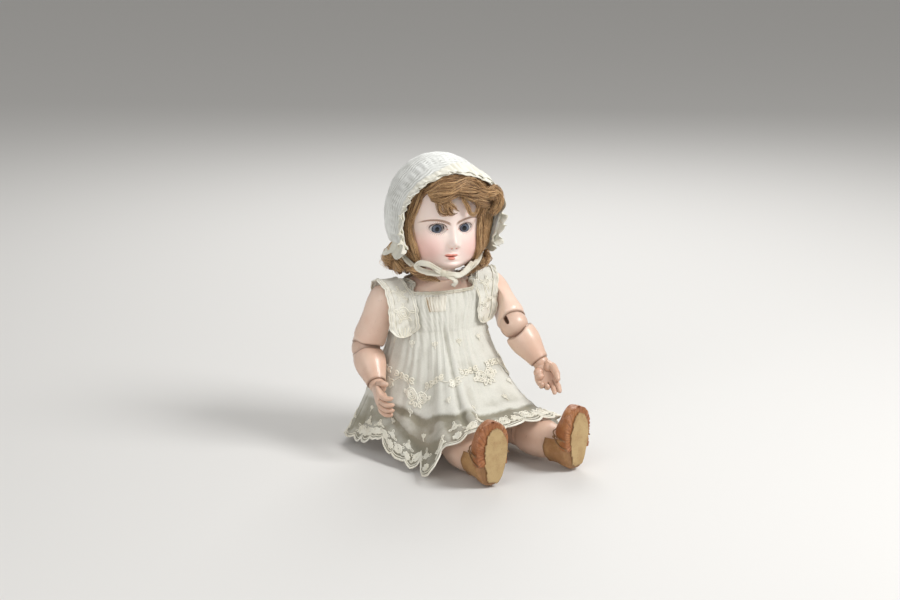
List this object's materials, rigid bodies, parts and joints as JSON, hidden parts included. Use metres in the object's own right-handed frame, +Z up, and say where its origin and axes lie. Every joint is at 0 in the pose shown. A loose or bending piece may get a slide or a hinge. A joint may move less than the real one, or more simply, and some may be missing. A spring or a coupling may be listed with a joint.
{
  "type": "seated bisque doll",
  "caption": "Bisque-headed doll with glass eyes, curled wig and bonnet, sitting in a sheer dress and leather shoes on a strung, ball-jointed composition body.",
  "frame": {"origin": "middle of the flat seat under the trunk", "axes": "+Z up, the doll faces -Y, its right side is at -X"},
  "size_m": [0.1728, 0.2114, 0.2619],
  "materials": {
    "bisque": "satin",
    "cork": "matte",
    "eye_glass": "gloss",
    "plaster": "matte",
    "mohair": "matte",
    "cotton": "matte",
    "steel": "satin",
    "washer_wood": "matte",
    "composition": "gloss",
    "ball_wood": "satin",
    "elastic": "matte",
    "net": "matte",
    "linen": "matte",
    "vamp_leather": "satin",
    "pale_leather": "matte",
    "sole_leather": "matte"
  },
  "bodies": {
    "torso": {"torso": "composition", "arm_elastic": "elastic", "leg_elastic": "elastic", "dress": "net", "slip": "linen", "sleeve_right": "net", "sleeve_left": "net"},
    "neck_fitting": {"neck_hook": "steel", "neck_spring": "steel", "neck_washer": "washer_wood", "neck_plate": "steel"},
    "head": {"head_shell": "bisque", "crown_pate": "cork", "eye_right": "eye_glass", "eye_left": "eye_glass", "eye_plaster": "plaster", "wig": "mohair", "bonnet_crown": "cotton", "bonnet_frill": "cotton", "bonnet_tie": "cotton"},
    "shoulder_right": {"shoulder_ball_right": "ball_wood"},
    "upper_arm_right": {"upper_arm_right": "composition", "upper_arm_elastic_right": "elastic"},
    "elbow_right": {"elbow_ball_right": "ball_wood"},
    "forearm_right": {"forearm_right": "composition", "forearm_elastic_right": "elastic"},
    "hand_right": {"hand_right": "composition", "hand_hook_right": "steel"},
    "shoulder_left": {"shoulder_ball_left": "ball_wood"},
    "upper_arm_left": {"upper_arm_left": "composition", "upper_arm_elastic_left": "elastic"},
    "elbow_left": {"elbow_ball_left": "ball_wood"},
    "forearm_left": {"forearm_left": "composition", "forearm_elastic_left": "elastic"},
    "hand_left": {"hand_left": "composition", "hand_hook_left": "steel"},
    "hip_right": {"hip_ball_right": "ball_wood"},
    "thigh_right": {"thigh_right": "composition", "thigh_elastic_right": "elastic"},
    "knee_right": {"knee_ball_right": "ball_wood"},
    "lower_leg_right": {"lower_leg_right": "composition", "shin_elastic_right": "elastic", "shin_hook_right": "steel", "shoe_vamp_right": "vamp_leather", "shoe_quarter_right": "pale_leather", "shoe_sole_right": "sole_leather", "shoe_lace_right": "pale_leather"},
    "hip_left": {"hip_ball_left": "ball_wood"},
    "thigh_left": {"thigh_left": "composition", "thigh_elastic_left": "elastic"},
    "knee_left": {"knee_ball_left": "ball_wood"},
    "lower_leg_left": {"lower_leg_left": "composition", "shin_elastic_left": "elastic", "shin_hook_left": "steel", "shoe_vamp_left": "vamp_leather", "shoe_quarter_left": "pale_leather", "shoe_sole_left": "sole_leather", "shoe_lace_left": "pale_leather"}
  },
  "joints": [
    {"name": "head_nod", "type": "hinge", "parent": "torso", "child": "neck_fitting", "pos_m": [0, -0.018, 0.15], "axis": [1, 0, 0], "range_deg": [-8, 8], "deforming": ["leg_elastic"]},
    {"name": "head_turn", "type": "hinge", "parent": "neck_fitting", "child": "head", "pos_m": [0, -0.018, 0.15], "axis": [0, 0, 1], "range_deg": [-65, 65]},
    {"name": "shoulder_swing_right", "type": "hinge", "parent": "torso", "child": "shoulder_right", "pos_m": [-0.054, -0.018, 0.134], "axis": [-1, 0, 0], "range_deg": [-25, 115], "deforming": ["dress", "slip", "sleeve_right"]},
    {"name": "arm_splay_right", "type": "hinge", "parent": "shoulder_right", "child": "upper_arm_right", "pos_m": [-0.054, -0.018, 0.134], "axis": [0, 0.9648, 0.2631], "range_deg": [-2, 25], "deforming": ["dress", "slip", "sleeve_right"]},
    {"name": "elbow_bend_right", "type": "hinge", "parent": "upper_arm_right", "child": "elbow_right", "pos_m": [-0.06609, -0.00591, 0.08968], "axis": [-0.9664, -0.0316, 0.255], "range_deg": [-65, 5], "deforming": ["dress", "slip"]},
    {"name": "forearm_twist_right", "type": "hinge", "parent": "elbow_right", "child": "forearm_right", "pos_m": [-0.06609, -0.00591, 0.08968], "axis": [-0.1305, -0.7946, -0.593], "range_deg": [-60, 60]},
    {"name": "hand_twist_right", "type": "hinge", "parent": "forearm_right", "child": "hand_right", "pos_m": [-0.07157, -0.03929, 0.06478], "axis": [-0.1305, -0.7946, -0.593], "range_deg": [-70, 70]},
    {"name": "shoulder_swing_left", "type": "hinge", "parent": "torso", "child": "shoulder_left", "pos_m": [0.054, -0.018, 0.134], "axis": [-1, 0, 0], "range_deg": [-95, 45], "deforming": ["dress", "slip", "sleeve_left"]},
    {"name": "arm_splay_left", "type": "hinge", "parent": "shoulder_left", "child": "upper_arm_left", "pos_m": [0.054, -0.018, 0.134], "axis": [0, -0.545, 0.8384], "range_deg": [-2, 25], "deforming": ["dress", "slip", "sleeve_left"]},
    {"name": "elbow_bend_left", "type": "hinge", "parent": "upper_arm_left", "child": "elbow_left", "pos_m": [0.055, -0.05782, 0.10812], "axis": [-0.6829, 0.386, -0.6202], "range_deg": [-15, 95], "deforming": ["dress", "slip"]},
    {"name": "forearm_twist_left", "type": "hinge", "parent": "elbow_left", "child": "forearm_left", "pos_m": [0.055, -0.05782, 0.10812], "axis": [0.3085, -0.6171, -0.7239], "range_deg": [-60, 60]},
    {"name": "hand_twist_left", "type": "hinge", "parent": "forearm_left", "child": "hand_left", "pos_m": [0.06795, -0.08374, 0.07772], "axis": [0.3085, -0.6171, -0.7239], "range_deg": [-70, 70]},
    {"name": "hip_swing_right", "type": "hinge", "parent": "torso", "child": "hip_right", "pos_m": [-0.025, -0.032, 0.025], "axis": [-1, 0, 0], "range_deg": [-90, 10], "deforming": ["dress", "slip"]},
    {"name": "hip_splay_right", "type": "hinge", "parent": "hip_right", "child": "thigh_right", "pos_m": [-0.025, -0.032, 0.025], "axis": [0, 0, -1], "range_deg": [-2, 24], "deforming": ["dress", "slip"]},
    {"name": "knee_bend_right", "type": "hinge", "parent": "thigh_right", "child": "knee_right", "pos_m": [-0.025, -0.09393, 0.02197], "axis": [1, 0, 0], "range_deg": [0, 70], "deforming": ["dress", "slip"]},
    {"name": "lower_leg_twist_right", "type": "hinge", "parent": "knee_right", "child": "lower_leg_right", "pos_m": [-0.025, -0.09393, 0.02197], "axis": [0, -0.9988, -0.0489], "range_deg": [-10, 30]},
    {"name": "hip_swing_left", "type": "hinge", "parent": "torso", "child": "hip_left", "pos_m": [0.025, -0.032, 0.025], "axis": [-1, 0, 0], "range_deg": [-90, 10], "deforming": ["dress", "slip"]},
    {"name": "hip_splay_left", "type": "hinge", "parent": "hip_left", "child": "thigh_left", "pos_m": [0.025, -0.032, 0.025], "axis": [0, 0, 1], "range_deg": [-15, 9], "deforming": ["dress", "slip"]},
    {"name": "knee_bend_left", "type": "hinge", "parent": "thigh_left", "child": "knee_left", "pos_m": [0.04207, -0.09153, 0.02197], "axis": [0.9613, 0.2756, 0], "range_deg": [0, 70], "deforming": ["dress", "slip"]},
    {"name": "lower_leg_twist_left", "type": "hinge", "parent": "knee_left", "child": "lower_leg_left", "pos_m": [0.04207, -0.09153, 0.02197], "axis": [-0.2753, 0.9601, 0.0489], "range_deg": [-10, 30]}
  ]
}
